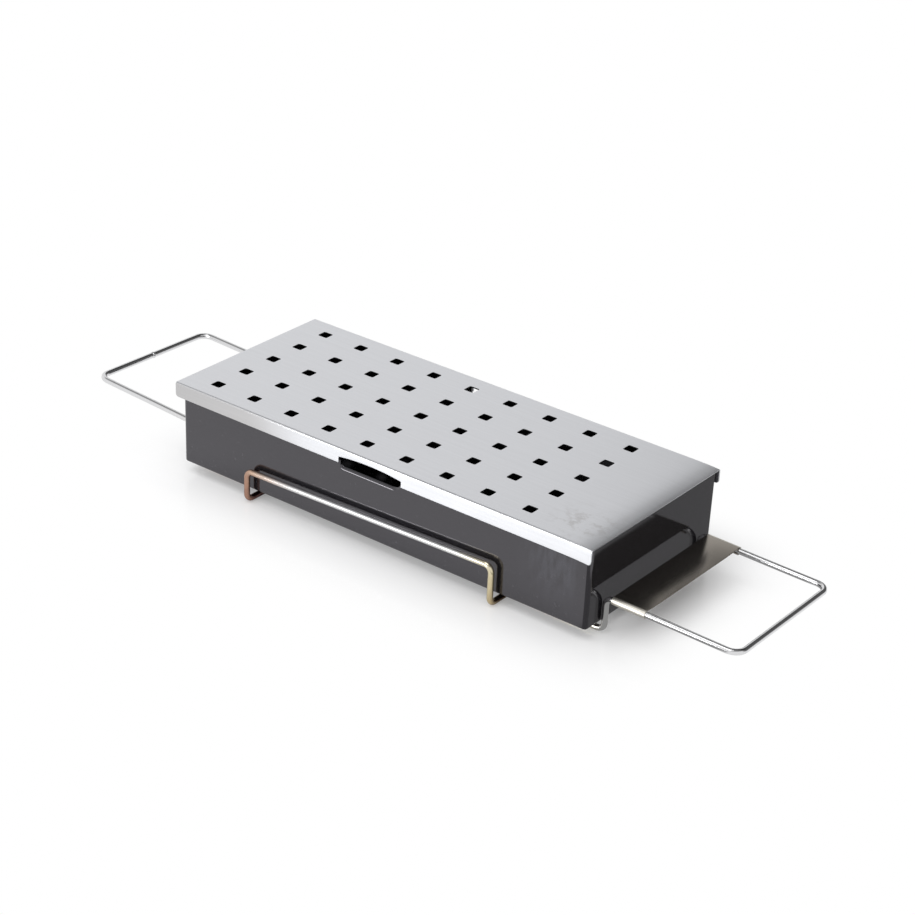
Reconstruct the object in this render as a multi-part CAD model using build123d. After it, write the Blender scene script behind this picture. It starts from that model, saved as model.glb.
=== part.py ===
from build123d import *
import math
import os

# Smoker box for a grill: a drawn steel tray under a loose perforated lid, carried in a cradle
# bent from one length of round wire, with a handle loop at each end.
# Millimetres. X runs along the box, -Y is the front, +Z is up.
# The origin is on the surface that the wire rests on, under the middle of the box.

# Cradle wire
wire_d = 3.3
bend_radius = 4.0          # centre line of the small bends
corner_radius = 6.5        # centre line of the four handle corners
base_half_width = 42.7     # base runs and handle sides, from the middle of the box
foot_x = 82.0              # where the base runs turn outwards to the feet
rail_gap = 2.1             # between the rail and the tray's long wall
rail_height = 21.4
tip_x = 213.3              # outer ends of the two handles
right_root_height = 21.0   # handle height where the wire leaves the end of the box
right_tip_height = 19.2
left_root_height = 23.0
left_tip_height = 26.7
weld_bead_d = 4.2          # butt weld that closes the wire into a loop

# Cross wires, welded on top of the base runs
cross_wire_x = 92.0
cross_wire_overhang = 3.0
weld_sink = 0.2

# Tray
tray_length = 270.6        # outside, at the rim
tray_width = 113.0
tray_height = 46.1
tray_wall = 1.0
tray_draft = 0.5           # degrees
tray_corner_radius = 2.7
tray_bottom_radius = 1.1
tray_seat_gap = 0.3
tray_end_gap = 0.3         # between the end wall and the upright wire
inside_radius_min = 0.3    # no inside corner of tray or lid is sharper

# Cut-outs in both long walls of the tray, under the notches of the lid
cutout_width = 41.5
cutout_drop = 11.1         # below the rim
cutout_corner_radius = 6.0

# Lid
lid_length = 275.4
lid_width = 115.8
lid_sheet = 0.8
lid_flange = 8.5
lid_fold_radius = 1.1      # outside of the fold
lid_end_radius = 2.0       # lower corners of the flanges
lid_seat_gap = 0.1
notch_width = 41.5
notch_side_height = 3.4
notch_rise = 1.5           # how much higher the arched edge is in the middle

# Holes of the lid
hole_side = 6.0
hole_corner_radius = 0.6
hole_columns = 9
hole_rows = 5
hole_pitch_x = 26.2
hole_pitch_y = 22.2
left_margin = 19.1         # lid's left end to the first column
front_margin = 13.5        # lid's front face to the first row

# Plate across the right handle
plate_length = 19.5        # along the wires
plate_sheet = 0.5
plate_setback = 0.2        # from the end of the wire's bend
plate_wire_gap = 0.05
plate_curl_angle = 255.0   # how far the edges roll round the wires, in degrees

# Values that follow from the sizes above
wire_r = wire_d / 2
base_z = wire_r
cross_wire_z = base_z + wire_d - weld_sink
tray_bottom_z = cross_wire_z + wire_r + tray_seat_gap
tray_rim_z = tray_bottom_z + tray_height
draft_slope = math.tan(math.radians(tray_draft))


def tray_half(size, z):
    """Outside half length or half width of the tray at height z."""
    return size / 2 - (tray_rim_z - z) * draft_slope


upright_top_z = max(right_root_height, left_root_height)
upright_x = tray_half(tray_length, upright_top_z) + tray_end_gap + wire_r
rail_y = tray_half(tray_width, rail_height) + rail_gap + wire_r


def cradle_path(side):
    """Centre line of the front (-1) or rear (+1) half of the cradle, from handle tip to handle tip."""
    base_y = side * base_half_width
    post_y = side * rail_y
    points = [
        (tip_x, 0, right_tip_height),
        (tip_x, base_y, right_tip_height),
        (upright_x, base_y, right_root_height),
        (upright_x, base_y, base_z),
        (foot_x, base_y, base_z),
        (foot_x, post_y, base_z),
        (foot_x, post_y, rail_height),
        (-foot_x, post_y, rail_height),
        (-foot_x, post_y, base_z),
        (-foot_x, base_y, base_z),
        (-upright_x, base_y, base_z),
        (-upright_x, base_y, left_root_height),
        (-tip_x, base_y, left_tip_height),
        (-tip_x, 0, left_tip_height),
    ]
    small_bends = [bend_radius] * (len(points) - 4)
    return FilletPolyline(*points, radius=[corner_radius, *small_bends, corner_radius])


def make_cradle():
    """One closed loop of wire in two mirrored halves, with the weld bead at the left tip."""
    loop = None
    for side in (-1, 1):
        path = cradle_path(side)
        section = Plane(origin=path @ 0, z_dir=path % 0) * Circle(wire_r)
        half = sweep(section, path=path)
        loop = half if loop is None else loop + half
    bead = Pos(-tip_x, 0, left_tip_height) * Sphere(weld_bead_d / 2)
    return loop + bead


def make_cross_wire(x):
    """Straight wire from front to rear, lying on the base runs."""
    length = 2 * (base_half_width + cross_wire_overhang)
    rod = Cylinder(wire_r, length, rotation=(90, 0, 0))
    return Pos(x, 0, cross_wire_z) * rod


def tray_form(inset, floor_z, top_z):
    """Drafted box with rounded upright corners, moved inwards from the outside of the tray by inset."""
    sections = []
    for z in (floor_z, top_z):
        shrink = 2 * (inset + (tray_rim_z - z) * draft_slope)
        radius = max(tray_corner_radius - shrink / 2, inside_radius_min)
        outline = RectangleRounded(tray_length - shrink, tray_width - shrink, radius)
        sections.append(Pos(0, 0, z) * outline)
    return loft(sections, ruled=True)


def round_floor(form, radius):
    """Rounds the edge all round the bottom of a tray form."""
    return fillet(form.edges().group_by(Axis.Z)[0], radius)


def make_tray():
    """Drawn tray with an even wall, its two long walls cut out in the middle of the rim."""
    outside = round_floor(tray_form(0, tray_bottom_z, tray_rim_z), tray_bottom_radius)
    above_rim = tray_rim_z + tray_wall
    cavity = tray_form(tray_wall, tray_bottom_z + tray_wall, above_rim)
    cavity = round_floor(cavity, max(tray_bottom_radius - tray_wall, inside_radius_min))
    cutout = Rectangle(cutout_width, 2 * cutout_drop)
    cutout = fillet(cutout.vertices(), cutout_corner_radius)
    cutout_bar = extrude(Plane.XZ * cutout, tray_width, both=True)
    return outside - cavity - Pos(0, 0, tray_rim_z) * cutout_bar


def fold_section(inset, bottom_z, top_z):
    """Upright cross-section of the lid's channel with its two folded corners."""
    height = top_z - inset - bottom_z
    width = lid_width - 2 * inset
    outline = Pos(0, bottom_z + height / 2) * Rectangle(width, height)
    top_corners = outline.vertices().group_by(Axis.Y)[-1]
    return fillet(top_corners, max(lid_fold_radius - inset, inside_radius_min))


def notch_outline():
    """The notch in a flange, seen from the front, with the flange's lower edge at height 0."""
    half = notch_width / 2
    crown = notch_side_height + notch_rise
    sides = Polyline(
        (-half, notch_side_height),
        (-half, -notch_side_height),
        (half, -notch_side_height),
        (half, notch_side_height),
    )
    arch = ThreePointArc((half, notch_side_height), (0, crown), (-half, notch_side_height))
    return make_face(sides + arch)


def hole_centres():
    """Centres of the lid's holes, column by column from the left end, row by row from the front."""
    first_x = -lid_length / 2 + left_margin
    first_y = -lid_width / 2 + front_margin
    return [
        (first_x + column * hole_pitch_x, first_y + row * hole_pitch_y)
        for column in range(hole_columns)
        for row in range(hole_rows)
    ]


def make_lid():
    """Sheet folded down along both long sides, with notched flanges and rows of square holes."""
    underside_z = tray_rim_z + lid_seat_gap
    top_z = underside_z + lid_sheet
    flange_z = top_z - lid_flange
    profile = fold_section(0, flange_z, top_z) - fold_section(lid_sheet, flange_z, top_z)
    lid = extrude(Plane.YZ * profile, lid_length / 2, both=True)
    low_edges = lid.edges().filter_by(Axis.Y).group_by(Axis.Z)[0]
    lid = fillet(low_edges, lid_end_radius)

    notch_bar = extrude(Plane.XZ * notch_outline(), lid_width, both=True)
    lid -= Pos(0, 0, flange_z) * notch_bar

    hole = extrude(RectangleRounded(hole_side, hole_side, hole_corner_radius), 2 * lid_sheet, both=True)
    lid -= [Pos(x, y, top_z) * hole for x, y in hole_centres()]
    return lid


def curled_edge(side):
    """Cross-section of a plate edge rolled over the top of a wire, round its outside and under it."""
    inner_r = wire_r + plate_wire_gap
    outer_r = inner_r + plate_sheet
    ring = Circle(outer_r) - Circle(inner_r)
    start = Vector(0, 3 * outer_r)
    steps = 8
    step_angle = -side * plate_curl_angle / steps
    fan = [start.rotate(Axis.Z, step * step_angle) for step in range(steps + 1)]
    sector = make_face(Polyline((0, 0), *fan, (0, 0)))
    return Pos(side * base_half_width, 0) * (ring & sector)


def make_handle_plate():
    """Plate between the sides of the right handle, flat on top, both edges curled round the wires."""
    slope = (right_tip_height - right_root_height) / (tip_x - upright_x)
    start_x = upright_x + bend_radius + plate_setback
    start_z = right_root_height + (start_x - upright_x) * slope
    inner_r = wire_r + plate_wire_gap
    web = Pos(0, inner_r + plate_sheet / 2) * Rectangle(2 * base_half_width, plate_sheet)
    profile = web + curled_edge(-1) + curled_edge(1)
    plate = extrude(Plane.YZ * profile, plate_length)
    tilt = math.degrees(math.atan(-slope))
    return Pos(start_x, 0, start_z) * Rot(0, tilt, 0) * plate


def main():
    parts = {
        "wire_cradle": make_cradle(),
        "cross_wire_left": make_cross_wire(-cross_wire_x),
        "cross_wire_right": make_cross_wire(cross_wire_x),
        "handle_plate": make_handle_plate(),
        "tray": make_tray(),
        "lid": make_lid(),
    }
    os.makedirs("parts", exist_ok=True)
    for name, part in parts.items():
        export_step(part, f"parts/{name}.step")
    return parts


if __name__ == "__main__":
    main()
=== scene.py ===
# %% [markdown]
# # A smoker box, dressed for its portrait
# The construction of the box is already fixed: a frame of plain solids says where each piece is
# and how big it is. This notebook makes the pieces that are seen, on top of that frame, and gives
# each one its finish: bright plated wire, brushed sheet and black enamel.
# Lengths are in metres, in the frame's own axes: X runs along the box, -Y is the front. Only the
# shaders count in millimetres.

# %% Load the frame
import math

import bmesh
import bpy
from mathutils import Matrix, Quaternion, Vector, noise


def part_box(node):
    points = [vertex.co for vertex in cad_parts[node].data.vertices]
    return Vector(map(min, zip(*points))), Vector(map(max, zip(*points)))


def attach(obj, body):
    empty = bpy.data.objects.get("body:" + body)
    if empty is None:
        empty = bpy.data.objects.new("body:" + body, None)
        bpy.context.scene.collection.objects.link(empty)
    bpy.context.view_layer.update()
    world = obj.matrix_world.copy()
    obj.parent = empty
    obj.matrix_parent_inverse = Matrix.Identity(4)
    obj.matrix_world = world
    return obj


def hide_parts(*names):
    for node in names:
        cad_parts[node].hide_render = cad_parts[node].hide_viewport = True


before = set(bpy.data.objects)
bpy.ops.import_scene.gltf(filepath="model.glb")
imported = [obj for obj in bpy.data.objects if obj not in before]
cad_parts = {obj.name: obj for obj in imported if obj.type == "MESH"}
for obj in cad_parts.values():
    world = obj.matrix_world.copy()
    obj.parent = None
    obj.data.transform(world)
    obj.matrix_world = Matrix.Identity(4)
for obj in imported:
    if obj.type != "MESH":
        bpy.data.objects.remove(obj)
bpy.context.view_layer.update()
MM = 0.001

# %% [markdown]
# ## The camera
# A camera can be placed by eye, by dragging it until the outlines fit, or from numbers that were
# worked out once. Here the numbers are a compass angle, a height angle, a roll and a distance,
# because they say in plain words how the photographer stood: to the right of the front, looking
# down at about a quarter of a right angle, with a long lens and the camera tipped a little.

# %% Place the camera
view_azimuth = math.radians(36.56)
view_elevation = math.radians(27.20)
view_roll = math.radians(2.76)
view_distance = 1285.6 * MM
view_aim = Vector((-2.2, 16.73, 27.03)) * MM
lens_length = 93.89
sensor_width = 36.0


def photo_camera():
    """The camera, from two angles, a roll and a distance."""
    back = Vector((
        math.sin(view_azimuth) * math.cos(view_elevation),
        -math.cos(view_azimuth) * math.cos(view_elevation),
        math.sin(view_elevation),
    ))
    level_right = Vector((math.cos(view_azimuth), math.sin(view_azimuth), 0))
    level_up = back.cross(level_right)
    right = level_right * math.cos(view_roll) + level_up * math.sin(view_roll)
    up = back.cross(right)
    data = bpy.data.cameras.new("photo_camera")
    data.lens = lens_length
    data.sensor_width = sensor_width
    data.clip_start = 0.02
    data.clip_end = 30
    made = bpy.data.objects.new("photo_camera", data)
    turn = Matrix((right, up, back)).transposed().to_4x4()
    made.matrix_world = Matrix.Translation(view_aim + back * view_distance) @ turn
    bpy.context.scene.collection.objects.link(made)
    bpy.context.scene.camera = made
    return made


camera = photo_camera()
bpy.context.scene.view_settings.view_transform = "Standard"
print("camera at", [round(v, 4) for v in camera.matrix_world.translation])

# %% [markdown]
# ## Writing shaders as sums
# A material is a graph of nodes. It can be wired by hand, node after node, but then a sum such as
# one minus a mask takes five lines. The class below wraps an output socket, so that Python's own
# operators add the Math nodes, and one method makes any other node from its type, its settings
# and what goes into its sockets.


# %% Wrap the sockets
class Signal:
    """A node's output that can be used in a Python expression."""

    def __init__(self, graph, socket):
        self.graph = graph
        self.socket = socket

    def math(self, operation, *values):
        inputs = dict(enumerate(values))
        return self.graph.node("Math", {"operation": operation}, inputs)

    def __add__(self, other):
        return self.math("ADD", self, other)

    def __sub__(self, other):
        return self.math("SUBTRACT", self, other)

    def __mul__(self, other):
        return self.math("MULTIPLY", self, other)

    def __rsub__(self, other):
        return self.math("SUBTRACT", other, self)

    __radd__ = __add__
    __rmul__ = __mul__


print("a socket now takes +, - and *")


# %% Fill a node tree
class Graph:
    """The node tree of a material or a world, and the helpers that fill it."""

    def __init__(self, owner):
        owner.use_nodes = True
        self.owner = owner
        self.tree = owner.node_tree
        self.tree.nodes.clear()

    def node(self, kind, settings=None, inputs=None, output=0):
        """A node of this type, its settings set first, then the values or links of its sockets."""
        made = self.tree.nodes.new("ShaderNode" + kind)
        for key, value in (settings or {}).items():
            if key == "stops":
                self.set_stops(made.color_ramp, value)
            else:
                setattr(made, key, value)
        for key, value in (inputs or {}).items():
            self.feed(made.inputs[key], value)
        return Signal(self, made.outputs[output]) if made.outputs else None

    def feed(self, socket, value):
        if isinstance(value, Signal):
            self.tree.links.new(value.socket, socket)
        elif socket.type == "RGBA":
            socket.default_value = (*value, 1)
        else:
            socket.default_value = value

    def set_stops(self, ramp, stops):
        while len(ramp.elements) < len(stops):
            ramp.elements.new(0.5)
        for element, (place, colour) in zip(ramp.elements, stops):
            element.position = place
            element.color = (*colour, 1)

    def vector(self, operation, *values, output=0):
        """A Vector Math node on these values."""
        inputs = dict(enumerate(values))
        return self.node("VectorMath", {"operation": operation}, inputs, output)

    def place(self):
        """Where a point lies on the piece at rest, in millimetres."""
        metres = self.node("TexCoord", output="Object")
        return self.node("VectorMath", {"operation": "SCALE"}, {0: metres, "Scale": 1000.0})

    def axes(self, vector):
        """The three parts of a vector."""
        split = self.node("SeparateXYZ", inputs={0: vector}).socket.node
        return [Signal(self, socket) for socket in split.outputs]

    def stretch(self, vector, scale):
        """A vector with each part multiplied by its own number."""
        return self.vector("MULTIPLY", vector, scale)

    def cloud(self, vector, scale, detail=2.0, roughness=0.5):
        """Noise from 0 to 1, about 0.5 on average; scale is in cells per unit of the vector."""
        inputs = {"Vector": vector, "Scale": scale, "Detail": detail, "Roughness": roughness}
        return self.node("TexNoise", inputs=inputs)

    def ease(self, value, low, high, at_low=0.0, at_high=1.0):
        """A smooth step: at_low below low, at_high above high."""
        inputs = {"Value": value, "From Min": low, "From Max": high}
        inputs |= {"To Min": at_low, "To Max": at_high}
        return self.node("MapRange", {"interpolation_type": "SMOOTHSTEP"}, inputs)

    def ramp(self, value, stops):
        return self.node("ValToRGB", {"stops": stops}, {0: value})

    def blend(self, share, first, second):
        """Two colours mixed; share is how much of the second there is."""
        return self.node("Mix", {"data_type": "RGBA"}, {0: share, 6: first, 7: second}, 2)

    def surface(self, shader):
        self.node("OutputMaterial", inputs={"Surface": shader})
        return self.owner


print("socket helpers ready")


# %% [markdown]
# ## Putting meshes into the scene
# Each piece is worked out as points and faces first and only then made into an object. Sheet
# metal is made the way a sheet is: one surface without thickness, which Solidify makes as thick
# as the real sheet and Bevel then takes the sharpness off, so that cut edges catch the light.


# %% Make an object from points and faces
def new_piece(name, points, faces, material, body, node):
    """A smooth shaded mesh that rides on a body and stands for a node of the frame."""
    used = sorted({i for face in faces for i in face})
    place_of = {old: new for new, old in enumerate(used)}
    faces = [[place_of[i] for i in face] for face in faces]
    mesh = bpy.data.meshes.new(name)
    mesh.from_pydata([tuple(points[i]) for i in used], [], faces)
    mesh.validate()
    for polygon in mesh.polygons:
        polygon.use_smooth = True
    mesh.materials.append(material)
    piece = bpy.data.objects.new(name, mesh)
    bpy.context.scene.collection.objects.link(piece)
    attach(piece, body)
    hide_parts(node)
    return piece


def thicken(piece, thickness, edge):
    """Gives a sheet its thickness, on the side away from its normals, and breaks its cut edges."""
    solid = piece.modifiers.new("sheet", "SOLIDIFY")
    solid.thickness = thickness
    solid.offset = -1
    solid.use_even_offset = True
    bevel = piece.modifiers.new("cut_edges", "BEVEL")
    bevel.width = edge
    bevel.segments = 2
    bevel.limit_method = "ANGLE"
    bevel.angle_limit = math.radians(50)
    normals = piece.modifiers.new("even_normals", "WEIGHTED_NORMAL")
    normals.mode = "FACE_AREA"


def spread(start, end, count):
    """Evenly spaced numbers from start to end, both included."""
    return [start + (end - start) * i / (count - 1) for i in range(count)]


def smooth_step(value, low, high):
    t = max(0.0, min(1.0, (value - low) / (high - low)))
    return t * t * (3 - 2 * t)


def grid_faces(rows, columns, left_out=()):
    """Faces between rows of points, each row as long as the next."""
    faces = []
    for j in range(rows - 1):
        for i in range(columns - 1):
            if (i, j) not in left_out:
                a = j * columns + i
                faces.append((a, a + 1, a + columns + 1, a + columns))
    return faces


print("mesh helpers ready")

# %% [markdown]
# ## The finish of the brushed sheet
# The lid and the handle plate are stainless sheet, brushed along its length by an abrasive belt.
# A brushed surface is a mirror broken into fine straight scratches, so it spreads light across
# the scratches and hardly along them. The shader's anisotropy does that. Its direction comes from
# the mesh's texture space, which is moved far off along Y further down, so that the direction is
# the same all over a sheet. The scratches themselves are noise stretched along X.
# Fire and hands have marked the sheet with brown blotches near one corner. Painted shade darkens
# the left of the front flange and the walls of the holes, and a painted sheen lightens the
# plate's rolled edges. Such marks could be painted on a picture, but a mask that is worked out
# from the place on the sheet needs none and stays sharp at any size.

# %% Masks for the marks and the painted shade on the sheet
flange_shade_left, flange_shade_right = -90.0, -42.0
flange_front, flange_back = -57.0, -55.0
punched_half_x, punched_half_y = 125.0, 54.0


def blotches(graph, place, spot, size):
    """Patches of stain round a spot, gone at a distance of size from it."""
    distance = graph.vector("DISTANCE", place, spot, output="Value")
    patches = graph.ease(graph.cloud(place, 0.16, 4.0, 0.7), 0.48, 0.66)
    return graph.ease(distance, 0.0, size, 1.0, 0.0) * patches


def shaded_flange(graph, place):
    """Where shade is painted: the left part of the front flange, fading out towards the middle."""
    x, y, _ = graph.axes(place)
    on_left = graph.ease(x, flange_shade_left, flange_shade_right, 1.0, 0.0)
    return on_left * graph.ease(y, flange_front, flange_back, 1.0, 0.0)


def among_holes(graph, place):
    """1 between the sheet's outer edges, where nothing but the holes' walls stands upright."""
    x, y, _ = graph.axes(graph.vector("ABSOLUTE", place))
    between_ends = graph.ease(x, punched_half_x, punched_half_x + 1.0, 1.0, 0.0)
    return between_ends * graph.ease(y, punched_half_y, punched_half_y + 0.5, 1.0, 0.0)


print("flange_shade ends at x", flange_shade_right, "mm")

# %% Brushed stainless sheet
scratch_stretch = (0.03, 3.0, 3.0)
band_stretch = (0.010, 0.7, 0.7)
scratch_depth = 0.0015 * MM
blotch_colour = (0.20, 0.165, 0.125)
flange_shade_colour = (0.22, 0.19, 0.15)
hole_wall_shade_colour = (0.03, 0.03, 0.03)
curl_sheen_colour = (0.82, 0.79, 0.72)


def brushed_steel(name, colour, roughness, spot, spot_size, rolled_y):
    """Stainless sheet brushed along X; from rolled_y outwards it is rolled, rougher, and painted lighter
    as a sheen.
    """
    graph = Graph(bpy.data.materials.new(name))
    place = graph.place()
    fine = graph.cloud(graph.stretch(place, scratch_stretch), 1.0, 3.0, 0.7)
    wide = graph.cloud(graph.stretch(place, band_stretch), 1.0, 2.0, 0.6)
    haze = graph.cloud(place, 0.03, 3.0, 0.55)
    streaks = fine * 0.5 + wide * 0.5
    share = graph.ease(streaks * 0.8 + haze * 0.2, 0.35, 0.65)
    base = graph.blend(share, [0.97 * c for c in colour], [1.03 * c for c in colour])
    base = graph.blend(blotches(graph, place, spot, spot_size) * 0.30, base, blotch_colour)
    facing = graph.vector("ABSOLUTE", graph.node("TexCoord", output="Normal"))
    upright = graph.ease(graph.axes(facing)[2], 0.35, 0.80, 1.0, 0.0)
    # Painted shade: the left of the front flange is darkened towards a warm grey, for the dimmer
    # reflection it shows there.
    base = graph.blend(upright * shaded_flange(graph, place) * 0.35, base, flange_shade_colour)
    # Painted shade: the upright walls of the holes are made near black, as they lie in shade under the
    # lid.
    base = graph.blend(upright * among_holes(graph, place), base, hole_wall_shade_colour)
    off_middle = graph.axes(graph.vector("ABSOLUTE", place))[1]
    rolled = graph.ease(off_middle, rolled_y, rolled_y + 1.0)
    # Painted sheen: the rolled edges are made lighter, for the light they catch.
    base = graph.blend(rolled * 0.8, base, curl_sheen_colour)
    rough = roughness - 0.045 + streaks * 0.06 + haze * 0.03 + rolled * 0.16
    height = fine * 0.6 + wide * 0.4
    bump = graph.node("Bump", inputs={"Strength": 1.0, "Distance": scratch_depth, "Height": height})
    shader = graph.node("BsdfPrincipled", inputs={
        "Base Color": base,
        "Metallic": 1.0,
        "Roughness": rough,
        "Anisotropic": 0.75,
        "Anisotropic Rotation": 0.25,
        "Normal": bump,
    })
    return graph.surface(shader)


# The lid has no rolled edges, so its rolled_y lies beyond it.
lid_steel = brushed_steel(
    "lid_steel", (0.700, 0.708, 0.735), 0.30, spot=(118, -38, 53), spot_size=26.0, rolled_y=90.0)
plate_steel = brushed_steel(
    "plate_steel", (0.47, 0.43, 0.38), 0.17, spot=(150, -30, 22), spot_size=40.0, rolled_y=42.0)
print("materials", lid_steel.name, plate_steel.name)

# %% [markdown]
# ## The finish of the tray
# The tray is enamelled: a glassy black skin baked on the steel. Almost everything that is seen on
# it is reflected, so its own colour is close to black and its gloss does the rest. Enamel never
# lies quite flat, and its shallow orange peel is a bump with soft hills two to three millimetres
# wide. A lighter grey lies in upright smears at the front wall's right end, stronger towards the
# rim. It could be a second shader, but a little grey mixed into the colour is enough.

# %% Black enamel
enamel_colour = (0.009, 0.0085, 0.010)
speck_colour = (0.035, 0.035, 0.04)
smear_colour = (0.065, 0.068, 0.082)
smears_left, smears_right = 88.0, 131.0
peel_depth = 0.06 * MM


def grey_smears(graph, place):
    """Smears on the front wall near its right end, stronger towards the rim."""
    x, y, z = graph.axes(place)
    from_left = graph.ease(x, smears_left, smears_left + 24.0)
    to_right = graph.ease(x, smears_right - 9.0, smears_right, 1.0, 0.0)
    on_front = graph.ease(y, -56.0, -54.0, 1.0, 0.0)
    smears = graph.cloud(graph.stretch(place, (0.35, 0.35, 0.10)), 1.0, 3.0, 0.6)
    high_up = graph.ease(z, 5.0, 38.0)
    return from_left * to_right * on_front * high_up * graph.ease(smears, 0.30, 0.65)


def black_enamel():
    graph = Graph(bpy.data.materials.new("black_enamel"))
    place = graph.place()
    peel = graph.cloud(place, 0.40, 2.0, 0.5)
    sag = graph.cloud(place, 0.045, 1.0, 0.5)
    specks = graph.ease(graph.cloud(place, 0.9, 0.0), 0.80, 0.84)
    base = graph.blend(specks, enamel_colour, speck_colour)
    base = graph.blend(grey_smears(graph, place) * 0.36, base, smear_colour)
    rough = 0.04 + graph.cloud(place, 0.12, 3.0, 0.6) * 0.08
    height = peel * 0.08 + sag
    bump = graph.node("Bump", inputs={"Strength": 1.0, "Distance": peel_depth, "Height": height})
    shader = graph.node("BsdfPrincipled", inputs={
        "Base Color": base,
        "Roughness": rough,
        "IOR": 1.75,
        "Specular Tint": (0.96, 0.93, 1.0),
        "Normal": bump,
    })
    return graph.surface(shader)


enamel = black_enamel()
print("material", enamel.name)

# %% [markdown]
# ## The finish of the wire
# The wire is bright plated. Where the cross wires were welded on, the heat ran along it and left
# temper colours. They could be painted by hand, but heat only depends on the distance from the
# weld, so the distance is worked out in the shader and looked up in a ramp of temper colours.
# The left welds were hotter than the right ones, so each end has a ramp of its own.

# %% Plated wire with temper colours
weld_spot = (92.0, 42.7, 3.0)
heat_reach = 80.0
ripple_depth = 0.006 * MM
hot_stops = [
    (0.0, (0.70, 0.70, 0.71)),
    (0.42, (0.70, 0.69, 0.69)),
    (0.52, (0.68, 0.60, 0.56)),
    (0.64, (0.54, 0.39, 0.30)),
    (0.72, (0.42, 0.25, 0.18)),
    (0.80, (0.24, 0.12, 0.10)),
    (1.0, (0.12, 0.09, 0.10)),
]
warm_stops = [
    (0.0, (0.70, 0.70, 0.71)),
    (0.44, (0.70, 0.70, 0.69)),
    (0.56, (0.72, 0.67, 0.53)),
    (0.66, (0.66, 0.58, 0.38)),
    (0.74, (0.50, 0.40, 0.24)),
    (0.84, (0.26, 0.17, 0.12)),
    (1.0, (0.12, 0.09, 0.10)),
]


def plated_wire():
    """Bright plating whose colour follows the distance from the nearest weld."""
    graph = Graph(bpy.data.materials.new("plated_wire"))
    place = graph.place()
    quarter = graph.vector("ABSOLUTE", place)
    gap = graph.vector("DISTANCE", quarter, weld_spot, output="Value")
    left_share = graph.ease(graph.axes(place)[0], -60.0, 60.0, 1.0, 0.0)
    patchy = graph.cloud(place, 0.11, 2.0, 0.6) - 0.5
    heat = 1.0 - gap * (1 / heat_reach) + patchy * 0.14
    temper = graph.blend(left_share, graph.ramp(heat, warm_stops), graph.ramp(heat, hot_stops))
    rough = 0.16 + graph.cloud(place, 0.25, 2.0, 0.5) * 0.05 + graph.ease(heat, 0.4, 0.9) * 0.08
    ripple = graph.cloud(place, 0.16, 1.0, 0.4)
    bump = graph.node("Bump", inputs={"Strength": 1.0, "Distance": ripple_depth, "Height": ripple})
    shader = graph.node("BsdfPrincipled", inputs={
        "Base Color": temper,
        "Metallic": 1.0,
        "Roughness": rough,
        "Normal": bump,
    })
    return graph.surface(shader)


chrome = plated_wire()
print("material", chrome.name)

# %% [markdown]
# ## The wire cradle
# One length of wire is bent into the whole cradle and closed with a butt weld. A curve with a
# round bevel would do, but a mesh tube gives full say over each bend. Its centre line is a list
# of corners, each rounded to the radius of the bending pin, and a ring of points is carried
# along it. A hand-bent wire is never quite true: the line wanders by a tenth of a millimetre,
# the rails climb towards the right, the posts stand a little to the left, the left handle is
# twisted, and the bends at the ends clear the table by a hair.

# %% The corners of the cradle
wire_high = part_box("wire_cradle")[1]
cross_low, cross_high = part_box("cross_wire_right")
wire_radius = (cross_high.x - cross_low.x) / 2
bend_radius = 4.0 * MM
corner_radius = 6.5 * MM
tip_x = wire_high.x - wire_radius
rail_y = wire_high.y - wire_radius
base_y = 42.7 * MM
left_post_x, right_post_x = -85.0 * MM, 79.0 * MM
base_z = wire_radius
heel_z = wire_radius + 0.8 * MM
upright_x = 136.99 * MM
rail_left_z, rail_right_z = 19.3 * MM, 23.5 * MM
right_tip_z, right_root_z = 19.4 * MM, 21.0 * MM
left_tip_z, left_root_z = 26.7 * MM, 23.0 * MM
right_far_lift = -0.3 * MM
left_twist = 0.65 * MM
left_skew = 0.55 * MM
left_reach = tip_x - 0.15 * MM


def half_loop(side):
    """Corners from the right handle's tip to the left one, with the radius of each bend."""
    base = side * base_y
    rail = side * rail_y
    lift = right_far_lift if side > 0 else 0
    corners = [
        (tip_x, base, right_tip_z + lift),
        (upright_x, base, right_root_z + lift),
        (upright_x, base, heel_z),
        (right_post_x, base, base_z),
        (right_post_x, rail, base_z),
        (right_post_x, rail, rail_right_z),
        (left_post_x, rail, rail_left_z),
        (left_post_x, rail, base_z),
        (left_post_x, base, base_z),
        (-upright_x, base, heel_z),
        (-upright_x, base, left_root_z),
        (side * left_skew - left_reach, base, left_tip_z - side * left_twist),
    ]
    small_bends = [bend_radius] * (len(corners) - 2)
    return list(zip(corners, [corner_radius, *small_bends, corner_radius]))


loop_corners = half_loop(-1) + half_loop(1)[::-1]
print("cradle corners", len(loop_corners), "wire", round(2 * wire_radius / MM, 2), "mm")


# %% Round the corners
bend_steps = 10
longest_step = 7 * MM


def bend(before, corner, after, radius):
    """Points of the round bend that takes the place of a corner."""
    to_last = (before - corner).normalized()
    to_next = (after - corner).normalized()
    half_angle = to_last.angle(to_next) / 2
    centre = corner + (to_last + to_next).normalized() * (radius / math.sin(half_angle))
    first = corner + to_last * (radius / math.tan(half_angle)) - centre
    last = corner + to_next * (radius / math.tan(half_angle)) - centre
    axis = first.cross(last).normalized()
    turn = first.angle(last)
    return [centre + Quaternion(axis, turn * t) @ first for t in spread(0, 1, bend_steps + 1)]


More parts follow.
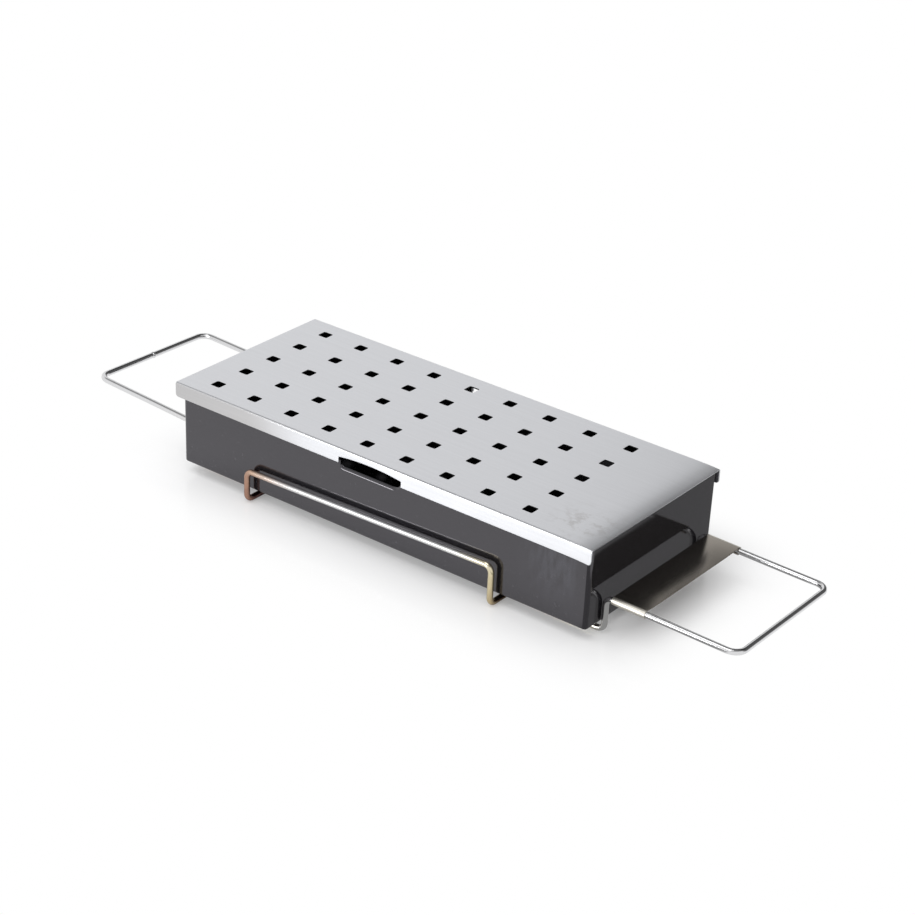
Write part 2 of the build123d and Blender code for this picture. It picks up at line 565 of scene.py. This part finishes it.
def rounded_loop(corners):
    """Points of a closed line whose corners are rounded with their own radii."""
    spots = [Vector(corner) for corner, _ in corners]
    bends = []
    for i, (_, radius) in enumerate(corners):
        bends.append(bend(spots[i - 1], spots[i], spots[(i + 1) % len(spots)], radius))
    points = []
    for i, arc in enumerate(bends):
        start, end = bends[i - 1][-1], arc[0]
        count = max(3, math.ceil((end - start).length / longest_step) + 1)
        points += [start.lerp(end, t) for t in spread(0, 1, count)][1:-1]
        points += arc
    return points


true_line = rounded_loop(loop_corners)
print("centre line", len(true_line), "points")

# %% Let the line wander, as a bend made by hand does
wire_wander = 0.12 * MM
wander_reach = 45 * MM
left_slack = 0.4 * MM
wander_seed = 1
# Vector noise starts from the clock unless it gets a seed, and each run would bend its own wire.
noise.seed_set(wander_seed)
cradle_line = []
for p in true_line:
    p = p + noise.noise_vector(p / wander_reach) * wire_wander
    p.x = max(-tip_x - left_slack, min(tip_x, p.x))
    p.y = max(-rail_y, min(rail_y, p.y))
    p.z = max(wire_radius, p.z)
    cradle_line.append(p)
print("lowest point", round(min(p.z for p in cradle_line) / MM, 2), "mm above the table")


# %% Carry a ring along the line
def tube_around(points, radius, sides):
    """Rings of points round a closed line, and the faces between them."""
    count = len(points)
    tangents = [(points[(i + 1) % count] - points[i - 1]).normalized() for i in range(count)]
    normals = [tangents[0].orthogonal().normalized()]
    for i in range(1, count + 1):
        swing = tangents[i - 1].rotation_difference(tangents[i % count])
        normals.append(swing @ normals[-1])
    twist = normals[count].angle(normals[0])
    if normals[count].cross(normals[0]).dot(tangents[0]) < 0:
        twist = -twist
    verts = []
    for i in range(count):
        start = Quaternion(tangents[i], twist * i / count) @ normals[i] * radius
        for k in range(sides):
            verts.append(points[i] + Quaternion(tangents[i], 2 * math.pi * k / sides) @ start)
    faces = []
    for i in range(count):
        j = (i + 1) % count
        for k in range(sides):
            m = (k + 1) % sides
            faces.append((i * sides + k, i * sides + m, j * sides + m, j * sides + k))
    return verts, faces


wire_sides = 28
verts, faces = tube_around(cradle_line, wire_radius, wire_sides)
bent_wire = new_piece("bent_wire", verts, faces, chrome, "cradle", "wire_cradle")
print("bent wire", len(verts), "points")

# %% [markdown]
# ## Welds and cross wires
# The loop is closed by a butt weld in the middle of the left handle, which leaves a small bright
# bead, and the two cross wires are spot welded on top of the base runs, which leaves flattened
# nuggets. A bead is a ball pulled out of round by noise, which is quicker than sculpting it and
# comes out the same every time.


# %% A ball pulled out of round
def lumpy_ball(centre, size, lumps):
    """Points and faces of a ball pulled out of round; size is its half length along each axis."""
    ball = bmesh.new()
    bmesh.ops.create_icosphere(ball, subdivisions=3, radius=1)
    points = []
    for vert in ball.verts:
        swell = 1 - lumps * (0.5 + 0.5 * noise.noise(vert.co * 1.6 + centre * 300))
        points.append(centre + Vector([a * b * swell for a, b in zip(vert.co, size)]))
    faces = [tuple(v.index for v in face.verts) for face in ball.faces]
    ball.free()
    return points, faces


print("a ball has", len(lumpy_ball(Vector(), (1, 1, 1), 0)[0]), "points")


# %% A straight rod with sheared ends
def sheared_rod(low, high, sides, edge):
    """A round rod along Y that fills a box, its ends sheared flat with a broken edge."""
    radius = (high.x - low.x) / 2
    centre = (low + high) / 2
    near_end = [(low.y, radius - edge), (low.y + 0.4 * edge, radius - 0.3 * edge), (low.y + edge, radius)]
    shaft = [(y, radius) for y in spread(low.y + 3 * edge, high.y - 3 * edge, 14)]
    far_end = [(low.y + high.y - y, r) for y, r in reversed(near_end)]
    rings = near_end + shaft + far_end
    points = []
    for y, r in rings:
        for k in range(sides):
            angle = 2 * math.pi * k / sides
            points.append(Vector((centre.x + r * math.cos(angle), y, centre.z + r * math.sin(angle))))
    faces = []
    for i in range(len(rings) - 1):
        for k in range(sides):
            m = (k + 1) % sides
            faces.append((i * sides + k, (i + 1) * sides + k, (i + 1) * sides + m, i * sides + m))
    faces.append(tuple(range(sides)))
    faces.append(tuple(reversed(range((len(rings) - 1) * sides, len(rings) * sides))))
    return points, faces


print("cross wires are", round((cross_high.y - cross_low.y) / MM, 1), "mm long")


# %% Weld the cross wires on
def join_shapes(shapes):
    """Several sets of points and faces as one."""
    points, faces = [], []
    for more_points, more_faces in shapes:
        shift = len(points)
        points += more_points
        faces += [tuple(i + shift for i in face) for face in more_faces]
    return points, faces


weld_z = 2 * wire_radius - 0.2 * MM
nugget_size = (1.9 * MM, 1.7 * MM, 0.75 * MM)
rod_edge = 0.5 * MM
for side_name, node in (("left", "cross_wire_left"), ("right", "cross_wire_right")):
    low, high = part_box(node)
    shapes = [sheared_rod(low, high, 24, rod_edge)]
    for y in (-base_y, base_y):
        spot = Vector(((low.x + high.x) / 2, y, weld_z))
        shapes.append(lumpy_ball(spot, nugget_size, lumps=0.25))
    points, faces = join_shapes(shapes)
    piece = new_piece("cross_rod_" + side_name, points, faces, chrome, "cradle", node)
    print(piece.name, len(points), "points")

# %% Close the loop with a bead
bead_size = (2.1 * MM, 1.7 * MM, 2.1 * MM)
bead_centre = Vector((-tip_x + 0.15 * MM, 0, left_tip_z))
points, faces = lumpy_ball(bead_centre, bead_size, lumps=0.12)
butt_weld = new_piece("butt_weld", points, faces, chrome, "cradle", "wire_cradle")
print("bead at", [round(v / MM, 1) for v in bead_centre])

# %% [markdown]
# ## The handle plate
# A small plate is pressed over the right handle, and its two edges are rolled round the wires so
# that it can't slip off. The plate could be cut from a block, but then its curls would have no
# inside. It is made as a sheet is rolled: one profile, with a flat web between two part circles,
# drawn out along X and then thickened inwards. Its free edge bows down a little.

# %% Sizes of the plate
plate_sheet = 0.5 * MM
plate_length = 19.5 * MM
plate_bow = 0.45 * MM
dent_depth = 0.12 * MM
dent_reach = 22 * MM
plate_start = upright_x + bend_radius + 0.2 * MM
handle_slope = (right_tip_z - right_root_z) / (tip_x - upright_x)
plate_start_z = right_root_z + (plate_start - upright_x) * handle_slope
curl_outside = wire_radius + 0.05 * MM + plate_sheet
curl_turn = math.radians(255)
plate_steps = [0, 0.01, 0.03, *spread(0.08, 0.92, 12), 0.97, 0.99, 1]
print("plate starts at", round(plate_start / MM, 2), "mm")


# %% Roll the plate
def plate_profile():
    """Outer face of the plate across the handle, from the near curl's end to the far one's."""
    far_curl = []
    for t in spread(0, 1, 25):
        angle = math.pi / 2 - curl_turn * t
        far_curl.append((base_y + curl_outside * math.cos(angle), curl_outside * math.sin(angle)))
    near_curl = [(-y, z) for y, z in reversed(far_curl)]
    web = [(y, curl_outside) for y in spread(-base_y, base_y, 27)[1:-1]]
    return near_curl + web + far_curl


def plate_point(t, y, z):
    """A point of the profile, a share t of the plate's length along the sloping handle."""
    x = plate_start + t * plate_length
    dent = abs(noise.noise(Vector((x, y, 0)) / dent_reach)) if abs(y) < base_y else 0
    bow = plate_bow * t ** 2 * (1 - min(1, abs(y) / base_y) ** 6)
    drop = (x - plate_start) * handle_slope
    lift = right_far_lift * (y + base_y) / (2 * base_y)
    return Vector((x, y, plate_start_z + z + drop - bow + lift - dent_depth * dent))


profile = plate_profile()
points = [plate_point(t, y, z) for y, z in profile for t in plate_steps]
faces = grid_faces(len(profile), len(plate_steps))
rolled_plate = new_piece(
    "rolled_plate", points, faces, plate_steel, "cradle", "handle_plate")
thicken(rolled_plate, plate_sheet, edge=0.08 * MM)
print("plate normal up", round(rolled_plate.data.polygons[len(faces) // 2].normal.z, 2))

# %% [markdown]
# ## The tray
# The tray is drawn from one sheet: walls that lean out a hair, rounded corners and bottom edge,
# and a cut-out under the lid's notch, whose lower edge is rolled inwards to a soft lip. A box with
# bevels and a Boolean cut would do, but the cut's round corners would leave slivers. So the tray
# is a stack of outlines, all with the same number of points. Below the cut-out the outlines bend
# down to its corners, and the faces above it are left out. Seen through the lid's rear holes the
# back wall is closed but for a short slot, so it gets only that.

# %% Sizes of the tray
tray_low, tray_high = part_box("tray")
tray_wall = 1.0 * MM
tray_draft = math.tan(math.radians(0.5))
rim_corner = 2.7 * MM
bottom_radius = 1.1 * MM
bottom_dish, dish_reach = 0.25 * MM, 30 * MM
corner_x = tray_high.x - rim_corner
corner_y = tray_high.y - rim_corner
print("tray", [round(v / MM, 1) for v in tray_high - tray_low], "mm")

# %% Sizes of the cut-out
cutout_left, cutout_right = -23.4 * MM, 17.8 * MM
left_corner, right_corner = 2.0 * MM, 6.5 * MM
cutout_floor_z = 42.4 * MM
cutout_side_z = cutout_floor_z + right_corner
cutout_blend_z = 36.0 * MM
lip_height, lip_depth, lip_fade = 1.8 * MM, 1.3 * MM, 3 * MM
slot_right = -12.0 * MM
hair = 0.01 * MM
print("cut-out", round((cutout_right - cutout_left) / MM, 1), "mm wide")


# %% The edge of the cut-out
def cutout_edge(x):
    """Height of the cut-out's lower edge at x, or None beside it."""
    if not cutout_left <= x <= cutout_right:
        return None
    into_left = max(0, cutout_left + left_corner - x)
    into_right = max(0, x - cutout_right + right_corner)
    rise = left_corner - math.sqrt(max(0, left_corner ** 2 - into_left ** 2))
    rise += right_corner - math.sqrt(max(0, right_corner ** 2 - into_right ** 2))
    return cutout_floor_z + rise


def bend_to_cutout(point):
    """Lowers a point of the front wall to follow the cut-out's edge, and rolls the edge inwards."""
    edge = cutout_edge(point.x)
    if edge is None or not cutout_blend_z < point.z < cutout_side_z + hair:
        return
    share = (point.z - cutout_blend_z) / (cutout_side_z - cutout_blend_z)
    point.z = cutout_blend_z + (edge - cutout_blend_z) * share
    into_lip = max(0, 1 - (edge - point.z) / lip_height)
    level = 1 - smooth_step(edge - cutout_floor_z, 0, lip_fade)
    point.y += lip_depth * level * into_lip ** 1.7


print("edge in the middle", round(cutout_edge(0) / MM, 1), "mm high")


# %% Outlines of the tray
def side_lines():
    """Where the points of a long wall lie along X: on the cut-out's round corners, wider elsewhere."""
    flat_left, flat_right = cutout_left + left_corner, cutout_right - right_corner
    left_arc = [flat_left - left_corner * math.cos(a) for a in spread(0, math.pi / 2, 5)]
    right_arc = [flat_right + right_corner * math.sin(a) for a in spread(0, math.pi / 2, 8)]
    inside = left_arc + [slot_right, *spread(-8 * MM, flat_right - 2 * MM, 7)] + right_arc
    outside = [x * MM for x in spread(29, 126, 15)] + [corner_x - 2 * MM, corner_x]
    return [-x for x in reversed(outside)] + inside + [22 * MM, *outside]


def outline(half_x, half_y, radius, z):
    """A rounded rectangle, counterclockwise from above, starting at the front's left end."""
    flat_x, flat_y = half_x - radius, half_y - radius
    along = [x / corner_x * flat_x for x in side_lines()]
    across = spread(-flat_y, flat_y, 17)
    corner = spread(0, math.pi / 2, 10)[1:-1]
    points = [(x, -half_y) for x in along]
    points += [(flat_x + radius * math.sin(a), -flat_y - radius * math.cos(a)) for a in corner]
    points += [(half_x, y) for y in across]
    points += [(flat_x + radius * math.cos(a), flat_y + radius * math.sin(a)) for a in corner]
    points += [(x, half_y) for x in reversed(along)]
    points += [(-flat_x - radius * math.sin(a), flat_y + radius * math.cos(a)) for a in corner]
    points += [(-half_x, y) for y in reversed(across)]
    points += [(-flat_x - radius * math.cos(a), -flat_y - radius * math.sin(a)) for a in corner]
    return [Vector((x, y, z)) for x, y in points]


def wall_radius(z):
    """Radius of the upright corners at a height: the draft takes from it towards the bottom."""
    return rim_corner - (tray_high.z - z) * tray_draft


print("points along a wall", len(side_lines()))


# %% Stack the outlines
def bottom_outlines():
    """Outlines of the slightly dished bottom, from the middle outwards."""
    bottom_corner = wall_radius(tray_low.z) - bottom_radius
    found = []
    for inset in (51 * MM, 40 * MM, 25 * MM, 12 * MM, 5 * MM, 1.5 * MM):
        dish = bottom_dish * smooth_step(inset, 0, dish_reach)
        radius = max(0.3 * MM, bottom_corner - inset)
        half_x, half_y = corner_x + bottom_corner - inset, corner_y + bottom_corner - inset
        found.append(outline(half_x, half_y, radius, tray_low.z + dish))
    return found


def wall_heights():
    """Heights of the wall's outlines: round the bottom edge, up to the cut-out, beside it and above."""
    rounding = spread(0, math.pi / 2, 7)
    heights = [tray_low.z + bottom_radius * (1 - math.cos(a)) for a in rounding]
    heights += [v * MM for v in (10, 13, 17, 22, 27, 32)]
    blend_height = cutout_side_z - cutout_blend_z
    heights += [cutout_blend_z + blend_height * t for t in (0, 0.3, 0.6, 0.75, 0.84, 0.92, 1)]
    return heights + spread(cutout_side_z, tray_high.z, 4)[1:]


rings = bottom_outlines()
for z in wall_heights():
    above = min(z - tray_low.z, bottom_radius)
    pull = bottom_radius - math.sqrt(bottom_radius ** 2 - (bottom_radius - above) ** 2)
    radius = wall_radius(z) - pull
    rings.append(outline(corner_x + radius, corner_y + radius, radius, z))
points = [p for ring in rings for p in ring]
for p in points:
    if p.y < -corner_y:
        bend_to_cutout(p)
print("tray", len(rings), "outlines of", len(rings[0]), "points")


# %% Draw the tray
def cut_away(face):
    """Whether a face lies in the front wall's cut-out or in the rear wall's slot."""
    centre = sum((points[n] for n in face), Vector()) / 4
    top = points[face[2]].z
    over_front = centre.y < -corner_y and top > cutout_side_z + hair
    in_slot = centre.y > corner_y and centre.x < slot_right and centre.z > cutout_floor_z
    return cutout_edge(centre.x) is not None and (over_front or in_slot)


size = len(rings[0])
faces = [tuple(reversed(range(size)))]
for i in range(len(rings) - 1):
    for k in range(size):
        m = (k + 1) % size
        face = (i * size + k, i * size + m, (i + 1) * size + m, (i + 1) * size + k)
        if not cut_away(face):
            faces.append(face)
drawn_tray = new_piece("drawn_tray", points, faces, enamel, "tray", "tray")
thicken(drawn_tray, tray_wall, edge=0.2 * MM)
kept = len(drawn_tray.data.vertices)
print("tray", kept, "points kept,", len(points) - kept, "above the cut-outs left out")

# %% [markdown]
# ## The lid
# The lid is punched flat and folded afterwards. The mesh follows that order: a flat grid over the
# developed sheet, in which each hole has its own block of cells, is wrapped over the two folds.
# Boolean cuts would give the same holes, but they leave long thin faces that spoil the shading,
# while a ring of cells round each hole keeps it clean. The lid lies a little off the middle.
# The notch is wide and arched in front, and at the rear as short as the slot that it clears.

# %% Sizes of the lid
lid_low, lid_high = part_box("lid")
lid_sheet = 0.8 * MM
lid_shift = -1.5 * MM
fold_radius = 1.1 * MM
end_radius = 2.0 * MM
flange_flat = lid_high.z - lid_low.z - fold_radius
fold_length = fold_radius * math.pi / 2
top_half = lid_high.y - fold_radius
print("lid", [round(v / MM, 1) for v in lid_high - lid_low], "mm")

# %% Sizes of the notch and the holes
notch_half = 20.75 * MM
notch_middle = -1.2 * MM
rear_notch_right = -11 * MM
notch_share = 1 - 3.4 * MM / flange_flat
notch_rise = 1.5 * MM
hole_half = 3.1 * MM
hole_corner = 0.8 * MM
hole_columns = [lid_low.x + (19.1 + 26.2 * i) * MM for i in range(9)]
hole_rows = [lid_low.y + (13.5 + 22.2 * j) * MM for j in range(5)]
print(len(hole_columns) * len(hole_rows), "holes")

# %% Lines of the developed sheet
block_half = 5.2 * MM
block_cells = 8


def block_lines(centres):
    """Lines of the blocks round each hole, with two lines in each gap between blocks."""
    lines = []
    for i, centre in enumerate(centres):
        lines += spread(centre - block_half, centre + block_half, block_cells + 1)
        if i + 1 < len(centres):
            lines += spread(centre + block_half, centres[i + 1] - block_half, 4)[1:-1]
    return lines


def lid_columns():
    """Lines across the lid: holes, round and plain ends, the notch's ends, the end that hangs."""
    lines = block_lines(hole_columns)
    for side in (-1, 1):
        lines += [side * (lid_high.x - end_radius * t) for t in (0, 0.1, 0.25, 0.45, 0.7, 1.0)]
        lines += [side * (lid_high.x - t * MM) for t in (4, 6.5, 9)]
        lines += [notch_middle + side * notch_half]
    lines += spread(100 * MM, 125 * MM, 6)
    return sorted(lines)


def lid_rows():
    """Lines along the developed lid: holes, folds and flanges."""
    half = [top_half - 2 * MM]
    half += [top_half + fold_length * t for t in spread(0, 1, 7)]
    flange_shares = (0.18, 0.36, notch_share, 0.7, 0.85, 1.0)
    half += [top_half + fold_length + flange_flat * t for t in flange_shares]
    return sorted(block_lines(hole_rows) + half + [-t for t in half])


columns, rows = lid_columns(), lid_rows()
print("lid grid", len(columns), "by", len(rows), "lines")


# %% Fold the developed sheet
def flange_low(x):
    """Height of the flange's lower edge above the lowest point: its two end corners are round."""
    into_corner = max(0, end_radius - (lid_high.x - abs(x)))
    return end_radius - math.sqrt(max(0, end_radius ** 2 - into_corner ** 2))


def notch_lift(x, share):
    """How far a point above the notch is raised, share of the way down, to follow the arched edge."""
    x = (x - notch_middle) / notch_half
    if abs(x) > 1 or share > notch_share + 0.001:
        return 0
    return notch_rise * (1 - x ** 2) * share / notch_share


def wrap(x, t):
    """A point of the developed sheet, t across it from the middle, on the folded lid."""
    side = math.copysign(1, t)
    t = abs(t)
    if t <= top_half:
        return Vector((x, side * t, lid_high.z))
    t -= top_half
    if t <= fold_length:
        a = t / fold_radius
        y = top_half + fold_radius * math.sin(a)
        return Vector((x, side * y, lid_high.z - fold_radius * (1 - math.cos(a))))
    share = (t - fold_length) / flange_flat
    drop = fold_radius + share * (flange_flat - flange_low(x))
    if side < 0:
        drop -= notch_lift(x, share)
    return Vector((x, side * lid_high.y, lid_high.z - drop))


print("developed width", round(2 * (top_half + fold_length + flange_flat) / MM, 1), "mm")

# %% Let the sheet settle
wave_depth = 0.05 * MM
wave_reach = 55 * MM
right_end_drop = 0.72 * MM
right_end_reach = 20 * MM
rear_hold = 0.25
rear_hold_y = 55 * MM


def settle(p):
    """The small unevenness of a thin sheet: shallow waves and a right end that hangs a little."""
    wave = wave_depth * (0.5 + 0.5 * noise.noise(Vector((p.x, p.y, 0)) / wave_reach))
    past = max(0, p.x - (lid_high.x - right_end_reach)) / right_end_reach
    drop = right_end_drop * past ** 3 * (1 - rear_hold * smooth_step(p.y, 0, rear_hold_y))
    return Vector((p.x + lid_shift, p.y, p.z - wave - drop))


points = [settle(wrap(x, t)) for t in rows for x in columns]
print("right end hangs", round((lid_high.z - settle(wrap(lid_high.x, 0)).z) / MM, 2), "mm")

# %% Punch the holes
hole_turn = math.radians(22.5)


def hole_point(index):
    """The point of the hole's edge that belongs to a point of its block's edge.

    Of the steps along a side, the five in the middle lie on the straight edge, the rest on the corners.
    """
    side, step = divmod(index, block_cells)
    middle = block_cells // 2
    flat = hole_half - hole_corner
    if abs(step - middle) <= 2:
        x, y = (step - middle) / 2 * flat, -hole_half
    elif step < middle:
        angle = math.radians(225) + hole_turn * step
        x, y = -flat + hole_corner * math.cos(angle), -flat + hole_corner * math.sin(angle)
    else:
        angle = math.radians(315) - hole_turn * (block_cells - step)
        x, y = flat + hole_corner * math.cos(angle), -flat + hole_corner * math.sin(angle)
    for _ in range(side):
        x, y = -y, x
    return x, y


def nearest(lines, value):
    """Index of the line that is closest to a value."""
    return min(range(len(lines)), key=lambda i: abs(lines[i] - value))


def block_edge(i, j):
    """Grid places round a block whose first corner is (i, j), counterclockwise."""
    steps = range(block_cells)
    last_i, last_j = i + block_cells, j + block_cells
    edge = [(i + k, j) for k in steps] + [(last_i, j + k) for k in steps]
    return edge + [(last_i - k, last_j) for k in steps] + [(i, last_j - k) for k in steps]


punched = set()
ring_faces = []
for centre_x in hole_columns:
    for centre_y in hole_rows:
        i0 = nearest(columns, centre_x - block_half)
        j0 = nearest(rows, centre_y - block_half)
        punched |= {(i0 + i, j0 + j) for i in range(block_cells) for j in range(block_cells)}
        outer = [j * len(columns) + i for i, j in block_edge(i0, j0)]
        start = len(points)
        for k in range(len(outer)):
            x, y = hole_point(k)
            points.append(settle(wrap(centre_x + x, centre_y + y)))
            m = (k + 1) % len(outer)
            ring_faces.append((outer[k], outer[m], start + m, start + k))
print("hole rings", len(ring_faces), "faces")

# %% Cut the notches and make the lid
notch_row = top_half + fold_length + flange_flat * notch_share - 0.01 * MM
middles = [(columns[i] + columns[i + 1]) / 2 for i in range(len(columns) - 1)]
left_end = notch_middle - notch_half
for j in range(len(rows) - 1):
    if min(abs(rows[j]), abs(rows[j + 1])) > notch_row:
        right_end = notch_middle + notch_half if rows[j] < 0 else rear_notch_right
        punched |= {(i, j) for i, middle in enumerate(middles) if left_end < middle < right_end}
faces = grid_faces(len(rows), len(columns), punched) + ring_faces
folded_lid = new_piece("folded_lid", points, faces, lid_steel, "lid", "lid")
thicken(folded_lid, lid_sheet, edge=0.12 * MM)
print("lid", len(points), "points, top normal", folded_lid.data.polygons[-1].normal.to_tuple(1))

# %% [markdown]
# ## The brushing direction
# Without a texture map, the shader takes its direction from the texture space: it runs round the
# space's middle. With the middle moved far away along Y, it runs straight along X over the whole
# sheet, and the anisotropic rotation of a quarter turn then spreads light across the scratches.

# %% Move the texture space
for sheet_piece in (folded_lid, rolled_plate):
    sheet_piece.data.use_auto_texspace = False
    sheet_piece.data.texspace_location = (0, 50, 0)
    sheet_piece.data.texspace_size = (1, 1, 1)
print("texture space moved for", folded_lid.name, rolled_plate.name)

# %% [markdown]
# ## The floor
# The box stands on glossy white board. A floor that is white everywhere can't show a shadow, and
# one that is lit evenly never gets quite white. So the floor is a real lit surface close to the
# box, with its shadow and faint mirror image, and turns to plain white within a few fingers'
# width of it. In front of the box the shade is a little lighter. The patch under the right handle
# looks dim to whatever mirrors it, which gives the end wall and the plate their depth.

# %% The floor's material, in metres
shadow_half = (0.137, 0.058, 1.0)
glow_reach = 0.053
front_lift = 0.27
board_colour = (0.95, 0.95, 0.955)
dim_colour = (0.34, 0.34, 0.34)


def distance_beyond(graph, place, half):
    """How far a point lies outside a box round the middle, whose half lengths are given."""
    beyond = graph.vector("SUBTRACT", graph.vector("ABSOLUTE", place), half)
    return graph.vector("LENGTH", graph.vector("MAXIMUM", beyond, (0, 0, 0)), output="Value")


def white_floor():
    graph = Graph(bpy.data.materials.new("white_floor"))
    metres = graph.node("TexCoord", output="Object")
    mirrored = graph.node("LightPath", output="Is Glossy Ray")
    seen = mirrored + graph.node("LightPath", output="Is Camera Ray")
    seen = seen + graph.node("LightPath", output="Is Transmission Ray")
    x, y, _ = graph.axes(metres)
    under_handle = graph.ease(x, 0.118, 0.130) * graph.ease(x, 0.190, 0.205, 1.0, 0.0)
    # Painted shade: mirror rays see the floor under the right handle as a dim grey glow.
    dim = under_handle * mirrored
    lift = graph.ease(y, -0.036, 0.0, front_lift, 0.0) * (1.0 - mirrored)
    reach = distance_beyond(graph, metres, shadow_half)
    shade = graph.ease(reach, 0.0, glow_reach, 1.0, 0.0) * (1.0 - lift)
    share = (1.0 - shade) * graph.node("Clamp", inputs={"Value": seen})
    share = share.math("MAXIMUM", share, dim)
    board = graph.node("BsdfPrincipled", inputs={
        "Base Color": board_colour,
        "Roughness": 0.16,
        "IOR": 1.45,
    })
    tone = graph.blend(dim, (1, 1, 1), dim_colour)
    glow = graph.node("Emission", inputs={"Color": tone, "Strength": 1.0})
    return graph.surface(graph.node("MixShader", inputs={0: share, 1: board, 2: glow}))


print("plain white from", round(glow_reach / MM), "mm beyond the box")

# %% Lay the floor
floor_half = 4.0
floor_mesh = bpy.data.meshes.new("floor")
corners = [(-floor_half, -floor_half, 0), (floor_half, -floor_half, 0)]
corners += [(floor_half, floor_half, 0), (-floor_half, floor_half, 0)]
floor_mesh.from_pydata(corners, [], [(0, 1, 2, 3)])
floor_mesh.materials.append(white_floor())
floor = bpy.data.objects.new("floor", floor_mesh)
bpy.context.scene.collection.objects.link(floor)
print("floor", 2 * floor_half, "m wide")

# %% [markdown]
# ## The room
# Bright metal and enamel show the room more than their own colour. An even white room would make
# them flat, so what they mirror has some parts: a dark side towards the rear and the right, a
# greyish band low at the rear, and a ceiling that is dimmer than the walls. A studio with walls
# could be built for it, but a world that only depends on the direction does the same with less.
# To everything matt the room is plain, so that colours come out about as they are written.

# %% The room, as metal sees it and as matt things see it
dark_share = 0.90
band_share = 0.65
ceiling_level = 0.30
plain_level = 0.91


def room():
    graph = Graph(bpy.data.worlds.new("room"))
    x, y, z = graph.axes(graph.node("TexCoord", output="Generated"))
    dark_side = graph.ease(x, -0.48, -0.32) * graph.ease(z, 0.05, 0.20) * graph.ease(y, 0.0, 0.4)
    low_band = graph.ease(z, 0.0, 0.04) * graph.ease(z, 0.12, 0.18, 1.0, 0.0) * graph.ease(y, 0.3, 0.6)
    ceiling = graph.ease(z, 0.58, 0.80, 1.0, ceiling_level)
    mirrored = (1.0 - dark_side * dark_share) * (1.0 - low_band * band_share) * ceiling
    camera_ray = graph.node("LightPath", output="Is Camera Ray")
    mirror_ray = graph.node("LightPath", output="Is Glossy Ray")
    level = mirror_ray * mirrored + (1.0 - mirror_ray) * plain_level
    level = camera_ray + (1.0 - camera_ray) * level
    tone = graph.blend(level, (0, 0, 0), (1, 1, 1))
    glow = graph.node("Background", inputs={"Color": tone, "Strength": 1.0})
    graph.node("OutputWorld", inputs={"Surface": glow})
    return graph.owner


bpy.context.scene.world = room()
print("world", bpy.context.scene.world.name)

# %% [markdown]
# ## Two lamps
# A large soft lamp overhead and a little to the front gives the shadow and the sheen. A small
# card low in front lights the lid's front flange and draws the bright line on the rail. Small and
# strong lamps would give harder edges, but on round bright wire they break up into dots.


# %% Hang the lamps
def soft_box(name, place, width, height, power):
    """An area light at a place, facing the middle of the box."""
    data = bpy.data.lights.new(name, "AREA")
    data.shape = "RECTANGLE"
    data.size = width
    data.size_y = height
    data.energy = power
    lamp = bpy.data.objects.new(name, data)
    lamp.location = place
    lamp.rotation_mode = "QUATERNION"
    lamp.rotation_quaternion = lamp.location.to_track_quat("Z", "Y")
    lamp.visible_camera = False
    bpy.context.scene.collection.objects.link(lamp)
    return lamp


key_light = soft_box("key_light", (-0.10, -0.60, 1.50), 0.9, 0.9, power=5.5)
front_light = soft_box("front_light", (-0.21, -0.55, 0.075), 0.30, 0.14, power=1.22)
print("lights", key_light.name, front_light.name)
